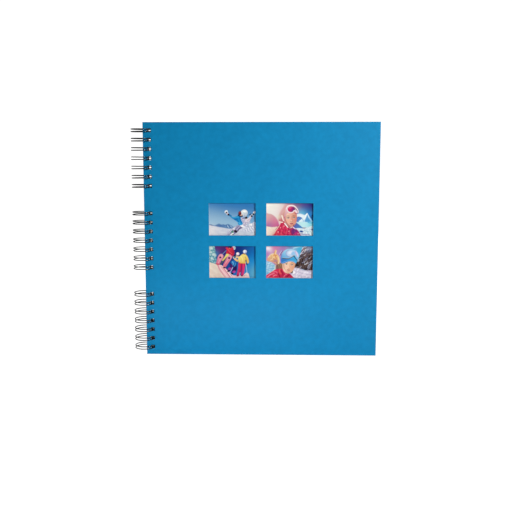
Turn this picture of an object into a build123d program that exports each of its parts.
"""Wire-bound scrapbook album, standing upright and closed.

Frame: +Z up the album's height, +X from the wire binding to the fore-edge, the front cover faces -Y.
Origin: midway across the closed album, on the hinge axis in depth, at the covers' bottom edge.
All sizes are in millimetres.
"""
from build123d import *
from math import asin, atan2, cos, degrees, hypot, pi, sin, sqrt
import os

os.makedirs("parts", exist_ok=True)

# ---------------------------------------------------------------- driving dimensions
page_width = 320.0         # leaf, spine edge to fore-edge
page_height = 320.0
page_count = 24
page_thickness = 0.26
page_gap = 0.02            # air between neighbouring leaves
fore_overhang = 6.0        # cover past the leaves at the fore-edge
end_overhang = 3.5         # cover past the leaves at the top, and at the bottom

wrap_thickness = 0.15      # blue covering paper
turn_in = 15.0             # how far the covering paper folds round onto the inside
edge_break = 0.3           # softened outer edge of a covered board
front_board_thickness = 2.0
back_board_thickness = 1.85
liner_thickness = 0.15
liner_inset = 4.0          # from the cover's edges to the liner's

window_width = 65.0
window_height = 45.0
window_gap = 15.0          # between two windows, both ways
window_block_drop = 0.0    # windows' centre below the cover's centre
print_lap = 2.0            # print behind the window's edge
print_thickness = 0.25
print_clearance = 0.3      # round a print in the filler card
print_headroom = 0.1       # a print is this much thinner than the filler card

wire_diameter = 1.25
ring_radius = 13.75        # hinge axis to the wire's centre line
ring_offset = 2.9          # hinge axis outside the cover's spine edge
face_ahead = 4.75          # front cover's outer face ahead of the hinge axis
hole_pitch = 12.7
hole_groups = 3
holes_skipped = 2          # unpunched places between two groups
end_margin = 4.0           # least distance from a leaf's end to its first hole
hole_end_clearance = 0.2   # above and below a loop's two legs, where they stand widest apart
hole_near_clearance = 0.58  # between the wire and the hole's side towards the spine
hole_far_clearance = 0.26  # between the wire and the hole's side towards the fore-edge
page_far_clearance = 0.475  # the same in the leaves, which are punched a little deeper

leg_gap_front = 3.0        # between a loop's two legs, at the front cover
leg_gap_outer = 3.55       # the same, outermost on the spine
closure_clearance = 0.325  # each side of the wire's bars, which lie behind the last leaf
elbow_radius = 1.2         # a leg's bend into the bar
tip_ahead = 0.8            # a loop's closed tip ahead of the bars
bar_stub = 2.4             # cut bar at each end of a wire strip

# ---------------------------------------------------------------- places worked out from them
cover_width = page_width + fore_overhang
cover_height = page_height + 2 * end_overhang
filler_thickness = print_thickness + print_headroom    # levelling card that the prints lie in
closure_gap = wire_diameter + 2 * closure_clearance
wire_radius = wire_diameter / 2
ring_outer = ring_radius + wire_radius
ring_inner = ring_radius - wire_radius
ring_x = ring_outer - (ring_outer + ring_offset + cover_width) / 2
spine_x = ring_x + ring_offset
fore_edge_x = spine_x + cover_width
page_base = end_overhang

front_face = -face_ahead
front_board_y = front_face + wrap_thickness
filler_y = front_board_y + front_board_thickness
front_turn_y = filler_y + filler_thickness
first_page_y = front_turn_y + wrap_thickness + liner_thickness
pages_end = first_page_y + page_count * (page_thickness + page_gap)
back_liner_y = pages_end + closure_gap
back_board_y = back_liner_y + liner_thickness + wrap_thickness
back_face = back_board_y + back_board_thickness + wrap_thickness

# A hole takes both legs of a loop. The wire follows its own circle as a cover or leaf turns about
# the ring's centre, so its place in a hole depends only on how deep the sheet lies in the stack.
hole_height = leg_gap_outer + wire_diameter + 2 * hole_end_clearance
hole_near = sqrt(ring_inner ** 2 - back_face ** 2) - ring_offset - hole_near_clearance
hole_far = sqrt(ring_outer ** 2 - first_page_y ** 2) - ring_offset + hole_far_clearance
page_hole_far = ring_outer - ring_offset + page_far_clearance

# As many whole loops in each group as the leaf's height has room for.
skipped_rows = (hole_groups - 1) * holes_skipped
rows_that_fit = int((page_height - 2 * end_margin - hole_height) / hole_pitch) + 1
loops_per_group = (rows_that_fit - skipped_rows) // hole_groups
places = loops_per_group + holes_skipped
hole_rows = hole_groups * loops_per_group + skipped_rows
first_hole_z = cover_height / 2 + (hole_rows - 1) * hole_pitch / 2


def loop_z(group, loop):
    """Height of one loop's centre; group 0 and loop 0 are the topmost."""
    return first_hole_z - (group * places + loop) * hole_pitch


all_loops = [loop_z(group, loop) for group in range(hole_groups) for loop in range(loops_per_group)]


def facing(y):
    """Plane at depth y, seen from the front: local x is +X and local y is +Z."""
    return Plane(origin=(0, y, 0), x_dir=(1, 0, 0), z_dir=(0, -1, 0))


def panel(y, x0, x1, z0, z1, thickness, mode=Mode.ADD):
    """Flat rectangular sheet whose front is at depth y, added to the part being built or cut from it."""
    with BuildSketch(facing(y)) as outline:
        with Locations(((x0 + x1) / 2, (z0 + z1) / 2)):
            Rectangle(x1 - x0, z1 - z0)
    extrude(outline.sketch, amount=-thickness, mode=mode)


def punch(y, thickness, far):
    """Cut the binding holes through a sheet whose front is at depth y."""
    with BuildSketch(facing(y)) as holes:
        with Locations([(spine_x + (hole_near + far) / 2, z) for z in all_loops]):
            Rectangle(far - hole_near, hole_height)
    extrude(holes.sketch, amount=-thickness, mode=Mode.SUBTRACT)


window_centre_x = spine_x + cover_width / 2
window_centre_z = cover_height / 2 - window_block_drop
window_grid = GridLocations(window_width + window_gap, window_height + window_gap, 2, 2)
window_places = [
    (window_centre_x + place.position.X, window_centre_z + place.position.Y)
    for place in window_grid
]


def cut_windows(y, thickness, grow=0.0):
    """Cut the four windows, each grown by the same amount all round."""
    with BuildSketch(facing(y)) as windows:
        with Locations(window_places):
            Rectangle(window_width + 2 * grow, window_height + 2 * grow)
    extrude(windows.sketch, amount=-thickness, mode=Mode.SUBTRACT)


def finish(piece, name):
    """Label a finished piece and write its STEP file."""
    piece.part.label = name
    export_step(piece.part, f"parts/{name}.step")


def make_board(name, y, thickness, broken_side, windows):
    """Stiff board inside a cover; its outer side carries the softened edge."""
    skin = wrap_thickness
    inner_break = edge_break - skin * (2 - 2 ** 0.5)
    with BuildPart() as board:
        panel(y, spine_x + skin, fore_edge_x - skin, skin, cover_height - skin, thickness)
        outer = board.faces().sort_by(Axis.Y)[broken_side]
        chamfer(outer.edges(), inner_break)
        punch(y, thickness, hole_far)
        if windows:
            cut_windows(y, thickness)
    finish(board, name)


def make_wrap(name, outer_y, inward, depth, windows):
    """Covering paper: outer face, four edges and the turn-ins on the inside.

    depth is the thickness of what it wraps; inward is +1 when the album's inside lies towards +Y.
    """
    skin = wrap_thickness
    whole = depth + 2 * skin
    front = min(outer_y, outer_y + inward * whole)
    inner_break = edge_break - skin * (2 - 2 ** 0.5)
    outer_side = 0 if inward > 0 else -1
    with BuildPart() as core:
        panel(front + skin, spine_x + skin, fore_edge_x - skin, skin, cover_height - skin, depth)
        chamfer(core.faces().sort_by(Axis.Y)[outer_side].edges(), inner_break)
    with BuildPart() as wrap:
        panel(front, spine_x, fore_edge_x, 0, cover_height, whole)
        chamfer(wrap.faces().sort_by(Axis.Y)[outer_side].edges(), edge_break)
        add(core.part, mode=Mode.SUBTRACT)
        inner_front = front + skin + depth if inward > 0 else front
        panel(inner_front, spine_x + turn_in, fore_edge_x - turn_in,
              turn_in, cover_height - turn_in, skin, Mode.SUBTRACT)
        punch(front, whole, hole_far)
        if windows:
            cut_windows(front, skin)
    finish(wrap, name)


def make_liner(name, inner_y, inward):
    """Endpaper over the turn-ins, filling the shallow well between them.

    inner_y is the face that the leaves see; inward is +1 when that face looks towards +Y.
    """
    lap_front = inner_y - liner_thickness if inward > 0 else inner_y
    well_front = lap_front - wrap_thickness if inward > 0 else lap_front + liner_thickness
    well_x0 = spine_x + turn_in
    well_x1 = fore_edge_x - turn_in
    with BuildPart() as liner:
        panel(lap_front, spine_x + liner_inset, fore_edge_x - liner_inset,
              liner_inset, cover_height - liner_inset, liner_thickness)
        panel(well_front, well_x0, well_x1, turn_in, cover_height - turn_in, wrap_thickness)
        punch(min(lap_front, well_front), liner_thickness + wrap_thickness, hole_far)
    finish(liner, name)


# ---------------------------------------------------------------- front cover
front_depth = front_board_thickness + filler_thickness
make_board("front_board", front_board_y, front_board_thickness, 0, windows=True)
make_wrap("front_wrap", front_face, 1, front_depth, windows=True)
make_liner("front_liner", first_page_y, 1)

with BuildPart() as filler:
    panel(filler_y, spine_x + wrap_thickness, fore_edge_x - wrap_thickness,
          wrap_thickness, cover_height - wrap_thickness, filler_thickness)
    punch(filler_y, filler_thickness, hole_far)
    cut_windows(filler_y, filler_thickness, print_lap + print_clearance)
finish(filler, "front_filler")

# ---------------------------------------------------------------- prints behind the windows
print_names = ["bottom_left", "top_left", "bottom_right", "top_right"]
half_width = window_width / 2 + print_lap
half_height = window_height / 2 + print_lap
for print_name, (x, z) in zip(print_names, window_places):
    with BuildPart() as photo_print:
        panel(filler_y, x - half_width, x + half_width, z - half_height, z + half_height, print_thickness)
    finish(photo_print, f"print_{print_name}")

# ---------------------------------------------------------------- leaves
for leaf in range(page_count):
    page_y = first_page_y + leaf * (page_thickness + page_gap) + page_gap / 2
    with BuildPart() as page:
        panel(page_y, spine_x, spine_x + page_width, page_base, page_base + page_height, page_thickness)
        punch(page_y, page_thickness, page_hole_far)
    finish(page, f"page_{leaf + 1:02d}")

# ---------------------------------------------------------------- back cover
make_board("back_board", back_board_y, back_board_thickness, -1, windows=False)
make_wrap("back_wrap", back_face, -1, back_board_thickness, windows=False)
make_liner("back_liner", back_liner_y, -1)

# ---------------------------------------------------------------- wire binding
# Round the ring, angles run from +X towards +Y. The closure lies in the gap behind the last leaf:
# the legs start there at the bars, pass through the back cover, round the spine, through the front
# cover and the leaves, and end in a closed tip just short of the bars.
tip_radius = leg_gap_front / 2
bar_y = pages_end + closure_gap / 2
tip_y = bar_y - tip_ahead
leg_start = asin(bar_y / hypot(ring_radius, elbow_radius)) + atan2(elbow_radius, ring_radius)
leg_end = asin(tip_y / hypot(ring_radius, tip_radius)) - atan2(tip_radius, ring_radius)
closure_angle = (leg_start + leg_end) / 2
front_hole_angle = -asin(face_ahead / ring_radius)
# The legs' planes lean apart evenly, from the closure to the outside of the spine.
reach_front = ring_radius * cos(front_hole_angle - closure_angle)
reach_outer = ring_radius * cos(pi - closure_angle)
lean = (leg_gap_outer - leg_gap_front) / (reach_front - reach_outer)
leg_gap_axis = leg_gap_front + lean * reach_front


def leg_point(centre_z, side, angle):
    """Point on a leg's centre line; side is -1 for the lower leg and +1 for the upper."""
    reach = ring_radius * cos(angle - closure_angle)
    z = centre_z + side * (leg_gap_axis - lean * reach) / 2
    return Vector(ring_x + ring_radius * cos(angle), ring_radius * sin(angle), z)


def tangent(angle):
    """Horizontal direction along the ring, towards rising angles."""
    return Vector(-sin(angle), cos(angle), 0)


up = Vector(0, 0, 1)
halfway = (leg_start + leg_end + 2 * pi) / 2
full_end = leg_end + 2 * pi
bend = 1 - cos(pi / 4)


def elbow(corner_leg, side):
    """Quarter bend from a leg's start to the bar that leads away from the loop."""
    along = tangent(leg_start)
    bar_end = corner_leg - along * elbow_radius + up * (side * elbow_radius)
    middle = corner_leg - along * (elbow_radius * sin(pi / 4)) + up * (side * elbow_radius * bend)
    return bar_end, middle


def make_wire(name, group):
    """One wire strip, bent from a single length of wire into double loops."""
    with BuildPart() as wire:
        with BuildLine() as path:
            start = None
            for loop in range(loops_per_group - 1, -1, -1):
                centre_z = loop_z(group, loop)
                lower = [leg_point(centre_z, -1, angle) for angle in (leg_start, halfway, full_end)]
                upper = [leg_point(centre_z, 1, angle) for angle in (full_end, halfway, leg_start)]
                bar_in, middle_in = elbow(lower[0], -1)
                bar_out, middle_out = elbow(upper[2], 1)
                if start is None:
                    start = bar_in - up * bar_stub
                Line(start, bar_in)
                ThreePointArc(bar_in, middle_in, lower[0])
                ThreePointArc(*lower)
                tip = (lower[2] + upper[0]) / 2 + tangent(full_end) * ((upper[0] - lower[2]).length / 2)
                ThreePointArc(lower[2], tip, upper[0])
                ThreePointArc(*upper)
                ThreePointArc(upper[2], middle_out, bar_out)
                start = bar_out
            Line(start, start + up * bar_stub)
        with BuildSketch(Plane(origin=path.wires()[0] @ 0, z_dir=path.wires()[0] % 0)):
            Circle(wire_radius)
        sweep(path=path.wires()[0])
    length = path.wires()[0].length
    share = wire.part.volume / (pi * wire_radius ** 2 * length)
    print(f"{name}: wire length {length:.1f} mm, volume {share:.4f} of section times length")
    finish(wire, name)


for group, group_name in enumerate(["top", "middle", "bottom"]):
    make_wire(f"wire_{group_name}", group)

print(f"hinge axis x {ring_x:.4f}, front face y {front_face:.3f}, back face y {back_face:.3f}")
print(f"leg start {degrees(leg_start):.2f} deg, leg end {degrees(leg_end):.2f} deg")
